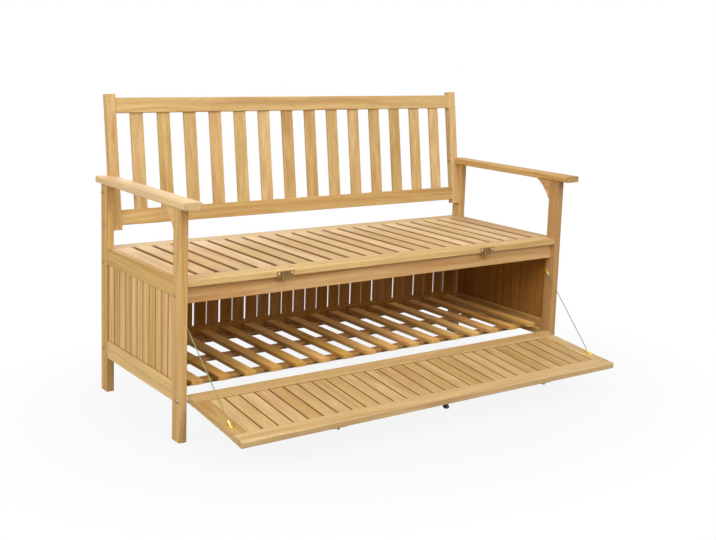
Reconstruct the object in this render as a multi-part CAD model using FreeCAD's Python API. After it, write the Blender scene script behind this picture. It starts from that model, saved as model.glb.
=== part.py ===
import FreeCAD, Part
import math
import os

# Garden storage bench with a drop front. Lengths in millimetres, angles in degrees.
# +X runs to the right seen from the front, +Y from the front to the back, +Z up.
# Sizes along Y are counted from the front face of the front posts until a piece is saved.

# Side frames
inner_width = 1400.0
frame_depth = 545.0
post_width = 24.0
post_depth = 44.0
post_height = 657.0
bevel = 1.5

# Armrests and the brackets under them
arm_thickness = 20.0
arm_overhang = 16.0
arm_front_reach = 50.0
arm_rear_reach = 4.0
arm_bevel = 2.5
arm_notch_gap = 1.0
bracket_thickness = 20.0
bracket_reach = 61.0
bracket_drop = 66.0
bracket_toe = 4.0
bracket_hollow = 6.0
dowel_radius = 5.0
dowel_in_post = 26.0
dowel_in_arm = 13.0
dowel_fit = 0.2
dowel_end_gap = 0.5

# Side panels
side_rail_thickness = 20.0
side_rail_inset = 2.0
side_top_rail_height = 50.0
bottom_rail_height = 55.0
bottom_rail_lift = 109.0
side_board_count = 11
panel_thickness = 10.0
groove_depth = 8.0
groove_end_gap = 0.5
groove_fit = 0.2
board_reveal = 3.5
board_bevel = 1.0
tongue_thickness = 3.0
tongue_length = 4.0
tongue_fit = 0.3

# Seat
seat_height = 456.0
seat_thickness = 20.0
seat_setback = 3.5
seat_end_gap = 0.5
seat_front_rail_width = 56.5
seat_rear_rail_width = 52.0
seat_slat_count = 22
seat_slat_gap = 12.0
seat_tenon_length = 12.0
seat_tenon_thickness = 9.0
seat_tenon_shoulder = 6.0
mortise_fit = 0.2
cleat_width = 20.0
cleat_height = 20.0
seat_batten_width = 40.0

# Drop front
flap_thickness = 18.0
flap_end_gap = 7.0
flap_top_gap = 11.0
flap_below_pivot = 10.0
flap_rail_width = 50.0
flap_stile_width = 43.0
flap_board_count = 27
flap_board_recess = 3.0
flap_open_angle = 95.9
flap_stop_gap = 1.4
pivot_setback = 10.0
pivot_height = 119.0
pivot_radius = 4.0
pivot_running_gap = 0.05
pivot_head_radius = 8.0
pivot_head_height = 4.0
pivot_grip = 32.0
pivot_end_gap = 2.0
spacer_radius = 9.0
spacer_side_gap = 0.3

# Apron under the front of the seat
apron_height = 49.0
apron_thickness = 20.0

# Rear panel
rear_rail_thickness = 20.0
rear_rail_inset = 6.0
rear_top_rail_height = 52.0
rear_slat_count = 29
rear_slat_gap = 7.0
rear_slat_drift = 0.9
rear_slat_drift_turn = 168.0

# Floor of the box
floor_thickness = 12.0
floor_slat_count = 16
floor_slat_width = 38.0
floor_top = 156.0
floor_front = 40.0
floor_rear_gap = 17.0
floor_end_gap = 6.0
floor_slat_margin = 28.0
floor_batten_width = 32.0
floor_batten_margin = 34.0

# Backrest
back_lean = 7.7
back_setback = 3.5
back_foot_height = 510.0
stile_length = 420.0
stile_width = 30.0
stile_depth = 28.0
back_rail_height = 47.0
back_rail_thickness = 24.0
back_bottom_margin = 14.5
back_top_margin = 12.0
back_slat_count = 14
back_slat_width = 42.0
back_slat_thickness = 11.0
back_tenon_length = 12.0
back_tenon_gap = 0.5

# Frame bolts and barrel nuts
bolt_radius = 3.0
bolt_head_radius = 6.0
bolt_head_height = 3.0
bolt_fit = 0.2
bolt_end_gap = 1.0
stile_bolt_rise = 20.0
stile_bolt_grip = 22.0
upper_stile_bolt_drop = 29.0
arm_bolt_grip = 28.0
rail_bolt_grip = 40.0
nut_setback = 28.0
nut_radius = 5.0
nut_length = 14.0
nut_fit = 0.3

# Latches: plate, pin and swinging hasp on the seat, keeper on the flap
latch_spacing = 776.0
latch_plate_width = 60.0
latch_plate_height = 22.0
latch_plate_thickness = 1.5
latch_plate_drop = 6.5
latch_foot_width = 48.0
latch_foot_rise = 2.6
latch_knuckle_span = 28.0
latch_screw_spacing = 44.0
latch_screw_drop = 5.5
hasp_width = 30.0
hasp_length = 21.0
hasp_thickness = 1.3
hasp_knuckle_width = 13.0
hasp_slot_width = 14.0
hasp_slot_height = 8.5
hasp_slot_drop = 14.0
hasp_nose = 6.0
hasp_setback = 0.9
knuckle_radius = 2.2
knuckle_gap = 0.3
latch_pin_radius = 1.0
latch_pin_gap = 0.05
keeper_width = 48.0
keeper_height = 15.0
keeper_thickness = 1.3
keeper_drop = 2.0
staple_width = 8.0
staple_height = 3.0
staple_reach = 8.0
small_screw_radius = 1.5
small_screw_head_radius = 3.0
small_screw_head_height = 1.2
small_screw_grip = 9.0
small_screw_fit = 0.15
keeper_screw_spacing = 38.0

# Knob on the outside of the flap
knob_radius = 9.5
knob_height = 22.0
knob_foot_radius = 6.0
knob_neck_radius = 4.8
knob_drop = 18.0
knob_screw_radius = 2.0
knob_screw_in_flap = 12.0
knob_screw_grip = 13.0
knob_screw_fit = 0.2

# Stays
stay_anchor_depth = 33.0
stay_anchor_drop = 46.0
stay_end_drop = 96.0
stay_edge_gap = 17.0
stay_radius = 1.4
stay_sleeve_radius = 3.0
stay_sleeve_length = 12.0
stay_lug_radius = 8.5
stay_lug_thickness = 1.5
stay_lug_offset = 7.6
stay_side_gap = 0.3
stay_screw_radius = 2.0
stay_screw_head_radius = 4.2
stay_screw_head_height = 2.0
stay_screw_grip = 15.0

# Places that follow from the sizes
inner_face = inner_width / 2
outer_face = inner_face + post_width
rear_post_front = frame_depth - post_depth
seat_underside = seat_height - seat_thickness
seat_slats_front = seat_setback + seat_front_rail_width
seat_slats_rear = frame_depth - seat_rear_rail_width
side_rail_outer = outer_face - side_rail_inset
side_rail_inner = side_rail_outer - side_rail_thickness
side_panel_middle = (side_rail_outer + side_rail_inner) / 2
side_top_rail_base = seat_height - side_top_rail_height
bottom_rail_top = bottom_rail_lift + bottom_rail_height
arm_inner = inner_face - arm_overhang
arm_outer = outer_face + arm_overhang
arm_top = post_height + arm_thickness
arm_middle = post_height + arm_thickness / 2
rear_rail_rear = frame_depth - rear_rail_inset
rear_rail_front = rear_rail_rear - rear_rail_thickness
rear_panel_middle = (rear_rail_front + rear_rail_rear) / 2
rear_top_rail_base = seat_underside - rear_top_rail_height
flap_half = inner_face - flap_end_gap
flap_front = pivot_setback - flap_thickness / 2
flap_rear = pivot_setback + flap_thickness / 2
flap_base = pivot_height - flap_below_pivot
flap_top = seat_underside - flap_top_gap
flap_board_middle = flap_rear - flap_board_recess - panel_thickness / 2
apron_front = flap_rear + flap_stop_gap
apron_base = seat_underside - apron_height
stay_anchor_height = apron_base - stay_anchor_drop
floor_rear = rear_rail_front - floor_rear_gap
floor_batten_top = floor_top - floor_thickness
floor_batten_base = floor_batten_top - floor_thickness
floor_half = inner_face - floor_end_gap
back_foot = rear_post_front + back_setback
back_half = inner_face - stile_width
stile_bolt_height = back_foot_height + stile_bolt_rise
upper_stile_bolt_height = post_height - upper_stile_bolt_drop
back_middle = stile_depth / 2
latch_pin_height = seat_underside - latch_plate_drop
latch_plate_front = seat_setback - latch_plate_thickness
latch_pin_depth = latch_plate_front - knuckle_radius - knuckle_gap
staple_base = latch_pin_height - hasp_slot_drop - staple_height / 2
stay_line_side = inner_face - stay_sleeve_radius - stay_side_gap

# The saved pieces stand on the middle of the bench's own box: from the open flap to the top of the back.
open_turn = math.radians(flap_open_angle)
lean_turn = math.radians(back_lean)
front_reach = (pivot_setback - (flap_top - pivot_height) * math.sin(open_turn)
               - (flap_thickness / 2 - bevel) * abs(math.cos(open_turn)))
rear_reach = back_foot + stile_length * math.sin(lean_turn) + stile_depth * math.cos(lean_turn)
box_middle = (front_reach + rear_reach) / 2

RIGHT = FreeCAD.Vector(1, 0, 0)
BACK = FreeCAD.Vector(0, 1, 0)
UP = FreeCAD.Vector(0, 0, 1)


def vector(x, y, z):
    return FreeCAD.Vector(x, y, z)


def prism(points, way):
    """The flat outline through the points, pushed along the way."""
    return Part.Face(Part.makePolygon(points + points[:1])).extrude(way)


def box(x, y, z):
    """A plain block between pairs of coordinates."""
    return Part.makeBox(x[1] - x[0], y[1] - y[0], z[1] - z[0], vector(x[0], y[0], z[0]))


def board(x, y, z, along, cut=bevel):
    """A board between pairs of coordinates with the four edges along its length bevelled."""
    ranges = (x, y, z)
    length_axis = "xyz".index(along)
    first, second = [axis for axis in range(3) if axis != length_axis]
    a0, a1 = ranges[first]
    b0, b1 = ranges[second]
    outline = ((a0 + cut, b0), (a1 - cut, b0), (a1, b0 + cut), (a1, b1 - cut),
               (a1 - cut, b1), (a0 + cut, b1), (a0, b1 - cut), (a0, b0 + cut))
    points = []
    for a, b in outline:
        place = [0.0, 0.0, 0.0]
        place[length_axis] = ranges[length_axis][0]
        place[first] = a
        place[second] = b
        points.append(vector(*place))
    way = [0.0, 0.0, 0.0]
    way[length_axis] = ranges[length_axis][1] - ranges[length_axis][0]
    return prism(points, vector(*way))


def rod(radius, length, start, way):
    """A round bar from its start along the way."""
    return Part.makeCylinder(radius, length, start, way)


def tongued_outline(start, width, first, last):
    """Section of one tongue-and-groove board, set off from its neighbours by a shadow groove on both faces.

    The pairs are (along the panel, through the panel).
    """
    left = start + (0.0 if first else board_reveal / 2)
    right = start + width - (tongue_fit if last else board_reveal / 2)
    skin = panel_thickness / 2
    edge = skin - board_bevel
    tongue = tongue_thickness / 2
    tip = right + board_reveal + tongue_length
    slot = tongue + tongue_fit
    slot_end = left + tongue_length + tongue_fit
    outline = [(left + board_bevel, -skin), (right - board_bevel, -skin), (right, -edge)]
    if not last:
        outline += [(right, -tongue), (tip, -tongue), (tip, tongue), (right, tongue)]
    outline += [(right, edge), (right - board_bevel, skin), (left + board_bevel, skin), (left, edge)]
    if not first:
        outline += [(left, slot), (slot_end, slot), (slot_end, -slot), (left, -slot)]
    return outline + [(left, -edge)]


def tongued_boards(span, count, place, height):
    """Upright boards side by side over the span; place turns a section pair into a point."""
    pitch = (span[1] - span[0]) / count
    boards = []
    for number in range(count):
        outline = tongued_outline(span[0] + number * pitch, pitch, number == 0, number == count - 1)
        points = [place(along, through) for along, through in outline]
        boards.append(prism(points, UP * height))
    return Part.makeCompound(boards)


def domed_bolt(head, way, radius, length, head_radius, head_height):
    """A bolt whose domed head sits on the head point; the shank runs along the way."""
    crown = head_radius - head_height / 2
    profile = [vector(0, 0, -head_height), vector(crown, 0, -head_height),
               vector(head_radius, 0, -head_height / 2), vector(head_radius, 0, 0),
               vector(radius, 0, 0), vector(radius, 0, length), vector(0, 0, length)]
    face = Part.Face(Part.makePolygon(profile + profile[:1]))
    solid = face.revolve(vector(0, 0, 0), UP, 360)
    solid.Placement = FreeCAD.Placement(head, FreeCAD.Rotation(UP, way))
    return solid


def bore(head, way, radius, length):
    """The hole for a bolt, running past the head point so that it opens through the face."""
    lead = 1.0
    return rod(radius, length + lead, head - way * lead, way)


def mirrored(shape):
    return shape.mirror(vector(0, 0, 0), RIGHT)


def pair(shape):
    """The right-hand piece and its left-hand twin as one group."""
    return Part.makeCompound([mirrored(shape), shape])


def leaned(shape):
    """The backrest is laid out upright on the foot line and then leaned back."""
    shape.rotate(vector(0, back_foot, back_foot_height), RIGHT, -back_lean)
    return shape


def opened(shape):
    """The flap is laid out closed and then dropped open about its pivot bolts."""
    shape.rotate(vector(0, pivot_setback, pivot_height), RIGHT, flap_open_angle)
    return shape


def stile_middle(height):
    """Depth of the stiles' middle at a height above the ground."""
    return back_foot + (height - back_foot_height) * math.tan(lean_turn) + back_middle / math.cos(lean_turn)


# Right-hand bolts as (head point, way, grip): through the posts into stile, rear rails and apron,
# and from the stile into the armrest.
stile_bolt = (vector(outer_face, stile_middle(stile_bolt_height), stile_bolt_height),
              -RIGHT, post_width + stile_bolt_grip)
upper_stile_bolt = (vector(outer_face, stile_middle(upper_stile_bolt_height), upper_stile_bolt_height),
                    -RIGHT, post_width + stile_bolt_grip)
arm_bolt = (vector(back_half, stile_middle(arm_middle), arm_middle), RIGHT, stile_width + arm_bolt_grip)
rear_top_bolt = (vector(outer_face, rear_panel_middle, rear_top_rail_base + rear_top_rail_height / 2),
                 -RIGHT, post_width + rail_bolt_grip)
rear_bottom_bolt = (vector(outer_face, rear_panel_middle, bottom_rail_lift + bottom_rail_height / 2),
                    -RIGHT, post_width + rail_bolt_grip)
apron_bolt = (vector(outer_face, apron_front + apron_thickness / 2, apron_base + apron_height / 2),
              -RIGHT, post_width + rail_bolt_grip)
pivot_bolt = (vector(outer_face, pivot_setback, pivot_height), -RIGHT, post_width + flap_end_gap + pivot_grip)


def bolt_hole(bolt):
    head, way, grip = bolt
    return bore(head, way, bolt_radius + bolt_fit, grip + bolt_end_gap)


def frame_bolt(bolt):
    head, way, grip = bolt
    return domed_bolt(head, way, bolt_radius, grip, bolt_head_radius, bolt_head_height)


def frame_bolts():
    bolts = (stile_bolt, upper_stile_bolt, arm_bolt, rear_top_bolt, rear_bottom_bolt, apron_bolt)
    return pair(Part.makeCompound([frame_bolt(bolt) for bolt in bolts]))


def nut_middle(bolt):
    """A barrel nut crosses the bolt inside the rail, its axis front to back."""
    head = bolt[0]
    return vector(inner_face - nut_setback, head.y, head.z)


def barrel_nut(bolt):
    middle = nut_middle(bolt)
    nut = rod(nut_radius, nut_length, middle - BACK * (nut_length / 2), BACK)
    return nut.cut(bolt_hole(bolt))


def barrel_nuts():
    return pair(Part.makeCompound([barrel_nut(bolt) for bolt in (rear_top_bolt, rear_bottom_bolt, apron_bolt)]))


def nut_hole(bolt):
    """Open to the back of the rail, so that the nut can be put in."""
    start = nut_middle(bolt) - BACK * (nut_length / 2 + nut_fit)
    return rod(nut_radius + nut_fit, nut_length + rear_rail_thickness, start, BACK)


def dowel_hole(depth):
    start = vector(inner_face + post_width / 2, depth, post_height - dowel_in_post - dowel_end_gap)
    return rod(dowel_radius + dowel_fit, dowel_in_post + dowel_in_arm + 2 * dowel_end_gap, start, UP)


def arm_dowels():
    dowels = []
    for depth in (post_depth / 2, frame_depth - post_depth / 2):
        start = vector(inner_face + post_width / 2, depth, post_height - dowel_in_post)
        dowels.append(rod(dowel_radius, dowel_in_post + dowel_in_arm, start, UP))
    return pair(Part.makeCompound(dowels))


def post(front, holes):
    upright = board((inner_face, outer_face), (front, front + post_depth), (0.0, post_height), "z")
    return upright.cut(holes + [dowel_hole(front + post_depth / 2)])


def front_post():
    head, way, grip = pivot_bolt
    pivot_hole = bore(head, way, pivot_radius + bolt_fit, grip)
    screw_hole = bore(stay_upper_foot, RIGHT, stay_screw_radius + small_screw_fit, stay_screw_grip + bolt_end_gap)
    return post(0.0, [pivot_hole, bolt_hole(apron_bolt), screw_hole])


def rear_post():
    bolts = (stile_bolt, upper_stile_bolt, rear_top_bolt, rear_bottom_bolt)
    return post(rear_post_front, [bolt_hole(bolt) for bolt in bolts])


def armrest():
    rest = board((arm_inner, arm_outer), (-arm_front_reach, frame_depth + arm_rear_reach),
                 (post_height, arm_top), "y", arm_bevel)
    notch_front = stile_middle(post_height) - back_middle / math.cos(lean_turn) - arm_notch_gap
    notch = box((arm_inner - arm_overhang, inner_face), (notch_front, frame_depth + arm_front_reach),
                (post_height - arm_thickness, arm_top + arm_thickness))
    holes = [dowel_hole(post_depth / 2), dowel_hole(frame_depth - post_depth / 2), bolt_hole(arm_bolt)]
    return rest.cut([notch] + holes)


def arm_bracket():
    """Corner bracket with a blunt toe at each end and a shallow hollow between them."""
    left = inner_face + (post_width - bracket_thickness) / 2
    corner = vector(left, post_depth, post_height)
    arm_toe = corner + BACK * bracket_reach
    arm_tip = arm_toe - UP * bracket_toe
    post_toe = corner - UP * bracket_drop
    post_tip = post_toe + BACK * bracket_toe
    middle = (arm_tip + post_tip) * 0.5
    inward = corner - middle
    inward.normalize()
    hollow = middle + inward * bracket_hollow
    edges = [Part.makeLine(corner, arm_toe), Part.makeLine(arm_toe, arm_tip),
             Part.Arc(arm_tip, hollow, post_tip).toShape(),
             Part.makeLine(post_tip, post_toe), Part.makeLine(post_toe, corner)]
    return Part.Face(Part.Wire(edges)).extrude(RIGHT * bracket_thickness)


def side_rail(base, top):
    return board((side_rail_inner, side_rail_outer), (post_depth, rear_post_front), (base, top), "y")


def side_groove(base):
    half = panel_thickness / 2 + groove_fit
    return box((side_panel_middle - half, side_panel_middle + half), (post_depth, rear_post_front),
               (base, base + groove_depth))


def side_top_rail():
    return side_rail(side_top_rail_base, seat_height).cut(side_groove(side_top_rail_base))


def side_bottom_rail():
    return side_rail(bottom_rail_lift, bottom_rail_top).cut(side_groove(bottom_rail_top - groove_depth))


def side_boards():
    base = bottom_rail_top - groove_depth + groove_end_gap
    top = side_top_rail_base + groove_depth - groove_end_gap

    def place(along, through):
        return vector(side_panel_middle + through, along, base)

    return tongued_boards((post_depth, rear_post_front), side_board_count, place, top - base)


def cleat(top):
    return board((side_rail_inner - cleat_width, side_rail_inner), (post_depth, rear_post_front),
                 (top - cleat_height, top), "y")


def seat_slat_ranges():
    span = inner_width - 2 * seat_end_gap
    width = (span - (seat_slat_count - 1) * seat_slat_gap) / seat_slat_count
    starts = [-span / 2 + number * (width + seat_slat_gap) for number in range(seat_slat_count)]
    return [(start, start + width) for start in starts]


def seat_tenons(reach, fit):
    """Tenons on both ends of every seat slat; a fit makes them the mortises."""
    middle = seat_underside + seat_thickness / 2
    half = seat_tenon_thickness / 2 + fit
    tenons = []
    for left, right in seat_slat_ranges():
        tenons.append(box((left + seat_tenon_shoulder - fit, right - seat_tenon_shoulder + fit),
                          (seat_slats_front - reach, seat_slats_rear + reach), (middle - half, middle + half)))
    return tenons


def seat_rail(front, rear):
    rail = board((-inner_face + seat_end_gap, inner_face - seat_end_gap), (front, rear),
                 (seat_underside, seat_height), "x")
    return rail.cut(seat_tenons(seat_tenon_length + mortise_fit, mortise_fit))


def latch_screw_points():
    points = []
    for side in (-1, 1):
        for hand in (-1, 1):
            across = side * latch_spacing / 2 + hand * latch_screw_spacing / 2
            points.append(vector(across, latch_plate_front, latch_plate_top() - latch_screw_drop))
    return points


def latch_plate_top():
    return latch_pin_height + latch_plate_height


def seat_front_rail():
    rail = seat_rail(seat_setback, seat_slats_front)
    return rail.cut([small_screw_hole(point, BACK) for point in latch_screw_points()])


def seat_rear_rail():
    return seat_rail(seat_slats_rear, frame_depth)


def seat_slats():
    slats = []
    for across, tenon in zip(seat_slat_ranges(), seat_tenons(seat_tenon_length, 0.0)):
        slat = board(across, (seat_slats_front, seat_slats_rear), (seat_underside, seat_height), "y")
        slats.append(slat.fuse(tenon).removeSplitter())
    return Part.makeCompound(slats)


def seat_batten():
    middle = (seat_slats_front + seat_slats_rear) / 2
    half = side_rail_inner - cleat_width
    return board((-half, half), (middle - seat_batten_width / 2, middle + seat_batten_width / 2),
                 (seat_underside - cleat_height, seat_underside), "x")


def apron():
    strip = board((-inner_face, inner_face), (apron_front, apron_front + apron_thickness),
                  (apron_base, seat_underside), "x")
    holes = Part.makeCompound([bolt_hole(apron_bolt), nut_hole(apron_bolt)])
    return strip.cut([holes, mirrored(holes)])


def rear_rail(base, top, groove_base, bolt):
    rail = board((-inner_face, inner_face), (rear_rail_front, rear_rail_rear), (base, top), "x")
    half = panel_thickness / 2 + groove_fit
    groove = box((-inner_face, inner_face), (rear_panel_middle - half, rear_panel_middle + half),
                 (groove_base, groove_base + groove_depth))
    holes = Part.makeCompound([bolt_hole(bolt), nut_hole(bolt)])
    return rail.cut([groove, holes, mirrored(holes)])


def rear_top_rail():
    return rear_rail(rear_top_rail_base, seat_underside, rear_top_rail_base, rear_top_bolt)


def rear_bottom_rail():
    return rear_rail(bottom_rail_lift, bottom_rail_top, bottom_rail_top - groove_depth, rear_bottom_bolt)


def rear_slat_shift(number):
    """How far a slat stands off its even place; the slats are loose in their grooves, all but the end ones."""
    from_middle = number - (rear_slat_count - 1) / 2
    if number in (0, rear_slat_count - 1):
        return 0.0
    return rear_slat_drift * math.sin(math.radians(rear_slat_drift_turn * from_middle))


def rear_slats():
    width = (inner_width - (rear_slat_count - 1) * rear_slat_gap) / rear_slat_count
    half = panel_thickness / 2
    slats = []
    for number in range(rear_slat_count):
        left = -inner_face + number * (width + rear_slat_gap) + rear_slat_shift(number)
        slats.append(board((left, left + width), (rear_panel_middle - half, rear_panel_middle + half),
                           (bottom_rail_top - groove_depth + groove_end_gap,
                            rear_top_rail_base + groove_depth - groove_end_gap), "z"))
    return Part.makeCompound(slats)


def floor_slats():
    left_edge = floor_slat_margin - floor_half
    pitch = (-2 * left_edge - floor_slat_width) / (floor_slat_count - 1)
    slats = []
    for number in range(floor_slat_count):
        left = left_edge + number * pitch
        slats.append(board((left, left + floor_slat_width), (floor_front, floor_rear),
                           (floor_batten_top, floor_top), "y"))
    return Part.makeCompound(slats)


def floor_battens():
    first = floor_front + floor_batten_margin + floor_batten_width / 2
    last = floor_rear - floor_batten_margin - floor_batten_width / 2
    battens = []
    for middle in (first, (first + last) / 2, last):
        battens.append(board((-floor_half, floor_half),
                             (middle - floor_batten_width / 2, middle + floor_batten_width / 2),
                             (floor_batten_base, floor_batten_top), "x"))
    return Part.makeCompound(battens)


def back_stile():
    stile = leaned(board((back_half, inner_face), (back_foot, back_foot + stile_depth),
                         (back_foot_height, back_foot_height + stile_length), "z"))
    return stile.cut([bolt_hole(stile_bolt), bolt_hole(upper_stile_bolt), bolt_hole(arm_bolt)])


back_bottom_rail_base = back_foot_height + back_bottom_margin
back_bottom_rail_top = back_bottom_rail_base + back_rail_height
back_top_rail_top = back_foot_height + stile_length - back_top_margin
back_top_rail_base = back_top_rail_top - back_rail_height


def back_slat_ranges():
    gap = (2 * back_half - back_slat_count * back_slat_width) / (back_slat_count + 1)
    starts = [-back_half + gap + number * (back_slat_width + gap) for number in range(back_slat_count)]
    return [(start, start + back_slat_width) for start in starts]


def back_slat(across, fit, reach):
    half = back_slat_thickness / 2 + fit
    middle = back_foot + back_middle
    return board((across[0] - fit, across[1] + fit), (middle - half, middle + half),
                 (back_bottom_rail_top - reach, back_top_rail_base + reach), "z")


def back_slats():
    reach = back_tenon_length - back_tenon_gap
    return leaned(Part.makeCompound([back_slat(across, 0.0, reach) for across in back_slat_ranges()]))


def back_rail(base, top):
    half = back_rail_thickness / 2
    middle = back_foot + back_middle
    rail = board((-back_half, back_half), (middle - half, middle + half), (base, top), "x")
    mortises = [back_slat(across, mortise_fit, back_tenon_length) for across in back_slat_ranges()]
    return leaned(rail.cut(mortises))


def back_bottom_rail():
    return back_rail(back_bottom_rail_base, back_bottom_rail_top)


def back_top_rail():
    return back_rail(back_top_rail_base, back_top_rail_top)


def flap_groove(base):
    half = panel_thickness / 2 + groove_fit
    side = flap_half - flap_stile_width
    return box((-side, side), (flap_board_middle - half, flap_board_middle + half), (base, base + groove_depth))


def flap_rail(base, top):
    return board((-flap_half, flap_half), (flap_front, flap_rear), (base, top), "x")


def flap_bottom_rail():
    top = flap_base + flap_rail_width
    head, way, grip = pivot_bolt
    hole = bore(head, way, pivot_radius + pivot_running_gap, grip + pivot_end_gap)
    return opened(flap_rail(flap_base, top).cut([flap_groove(top - groove_depth), hole, mirrored(hole)]))


def keeper_screw_points():
    height = flap_top - keeper_drop - keeper_height / 2
    points = []
    for side in (-1, 1):
        for hand in (-1, 1):
            across = side * latch_spacing / 2 + hand * keeper_screw_spacing / 2
            points.append(vector(across, flap_front - keeper_thickness, height))
    return points


def flap_top_rail():
    base = flap_top - flap_rail_width
    holes = [small_screw_hole(point, BACK) for point in keeper_screw_points()]
    return opened(flap_rail(base, flap_top).cut([flap_groove(base), knob_screw_hole()] + holes))


def flap_stile():
    stile = board((flap_half - flap_stile_width, flap_half), (flap_front, flap_rear),
                  (flap_base + flap_rail_width, flap_top - flap_rail_width), "z")
    hole = bore(stay_lower_foot, -BACK, stay_screw_radius + small_screw_fit, stay_screw_grip + bolt_end_gap)
    return stile.cut(hole)


def flap_boards():
    base = flap_base + flap_rail_width - groove_depth + groove_end_gap
    top = flap_top - flap_rail_width + groove_depth - groove_end_gap
    side = flap_half - flap_stile_width

    def place(along, through):
        return vector(along, flap_board_middle + through, base)

    return opened(tongued_boards((-side, side), flap_board_count, place, top - base))


def pivot_bolts():
    head, way, grip = pivot_bolt
    return pair(domed_bolt(head, way, pivot_radius, grip, pivot_head_radius, pivot_head_height))


def pivot_spacers():
    start = vector(flap_half + spacer_side_gap, pivot_setback, pivot_height)
    length = flap_end_gap - spacer_side_gap
    ring = rod(spacer_radius, length, start, RIGHT)
    return pair(ring.cut(rod(pivot_radius + bolt_fit, length, start, RIGHT)))


def knob_middle():
    return vector(0.0, flap_front, flap_top - knob_drop)


def knob_screw_hole():
    return bore(knob_middle(), BACK, knob_screw_radius + knob_screw_fit, knob_screw_in_flap + bolt_end_gap)


def flap_knob():
    """Turned knob: a foot on the flap, a waist and a rounded head with a domed crown."""
    crown_radius = knob_radius * 0.75
    crown_rise = knob_height * 0.07
    dome = (crown_radius ** 2 + crown_rise ** 2) / (2 * crown_rise)
    dome_middle = knob_height - dome
    foot = vector(knob_foot_radius, 0, 0)
    waist = vector(knob_neck_radius, 0, knob_height * 0.3)
    head_start = vector(knob_radius * 0.85, 0, knob_height * 0.6)
    rim = vector(knob_radius, 0, knob_height * 0.76)
    shoulder = vector(crown_radius, 0, knob_height - crown_rise)
    crown = vector(crown_radius / 2, 0, dome_middle + math.sqrt(dome ** 2 - (crown_radius / 2) ** 2))
    tip = vector(0, 0, knob_height)
    middle = vector(0, 0, 0)
    edges = [Part.Arc(foot, waist, head_start).toShape(), Part.Arc(head_start, rim, shoulder).toShape(),
             Part.Arc(shoulder, crown, tip).toShape(), Part.makeLine(tip, middle), Part.makeLine(middle, foot)]
    knob = Part.Face(Part.Wire(edges)).revolve(middle, UP, 360)
    knob.Placement = FreeCAD.Placement(knob_middle(), FreeCAD.Rotation(UP, -BACK))
    hole = bore(knob_middle(), -BACK, knob_screw_radius + knob_screw_fit, knob_screw_grip + bolt_end_gap)
    return opened(knob.cut(hole))


def knob_screw():
    """Headless stud, half in the knob and half in the rail."""
    start = knob_middle() - BACK * knob_screw_grip
    return opened(rod(knob_screw_radius, knob_screw_grip + knob_screw_in_flap, start, BACK))


def small_screw_hole(point, way):
    return bore(point, way, small_screw_radius + small_screw_fit, small_screw_grip + bolt_end_gap)


def small_screws(points, way):
    return Part.makeCompound([domed_bolt(point, way, small_screw_radius, small_screw_grip,
                                         small_screw_head_radius, small_screw_head_height) for point in points])


def flap_keepers():
    """A small plate with a blunt staple that stands through the hasp's slot."""
    keepers = []
    top = flap_top - keeper_drop
    for side in (-1, 1):
        middle = side * latch_spacing / 2
        front = flap_front - keeper_thickness
        plate = board((middle - keeper_width / 2, middle + keeper_width / 2), (front, flap_front),
                      (top - keeper_height, top), "y")
        staple = board((middle - staple_width / 2, middle + staple_width / 2), (front - staple_reach, flap_front),
                       (staple_base, staple_base + staple_height), "y", staple_height / 4)
        keepers.append(plate.fuse(staple).removeSplitter())
    holes = [small_screw_hole(point, BACK) for point in keeper_screw_points()]
    return opened(Part.makeCompound([keeper.cut(holes) for keeper in keepers]))


def keeper_screws():
    return opened(small_screws(keeper_screw_points(), BACK))


def latch_knuckle(left, right):
    start = vector(left, latch_pin_depth, latch_pin_height)
    return rod(knuckle_radius, right - left, start, RIGHT)


def latch_pin_bore(middle):
    start = vector(middle - latch_plate_width, latch_pin_depth, latch_pin_height)
    return rod(latch_pin_radius + latch_pin_gap, 2 * latch_plate_width, start, RIGHT)


def latch_plate(middle):
    """Plate a little wider along its top, with two hinge knuckles below its lower edge."""
    top = latch_plate_top()
    foot = latch_pin_height + latch_foot_rise
    base = latch_pin_height - knuckle_radius
    span = latch_knuckle_span / 2
    outline = ((-latch_plate_width / 2, top), (latch_plate_width / 2, top), (latch_foot_width / 2, foot),
               (span, foot), (span, base), (-span, base), (-span, foot), (-latch_foot_width / 2, foot))
    points = [vector(middle + across, latch_plate_front, height) for across, height in outline]
    plate = prism(points, BACK * latch_plate_thickness)
    for side in (-1, 1):
        inner = side * (hasp_knuckle_width / 2 + knuckle_gap)
        left, right = sorted((middle + inner, middle + side * span))
        web = box((left, right), (latch_pin_depth, seat_setback), (base, latch_pin_height))
        plate = plate.fuse([latch_knuckle(left, right), web])
    holes = [small_screw_hole(point, BACK) for point in latch_screw_points()]
    return plate.removeSplitter().cut(holes + [latch_pin_bore(middle)])


def latch_plates():
    return Part.makeCompound([latch_plate(side * latch_spacing / 2) for side in (-1, 1)])


def latch_pins():
    pins = []
    for side in (-1, 1):
        start = vector(side * latch_spacing / 2 - latch_knuckle_span / 2, latch_pin_depth, latch_pin_height)
        pins.append(rod(latch_pin_radius, latch_knuckle_span, start, RIGHT))
    return Part.makeCompound(pins)


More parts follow.
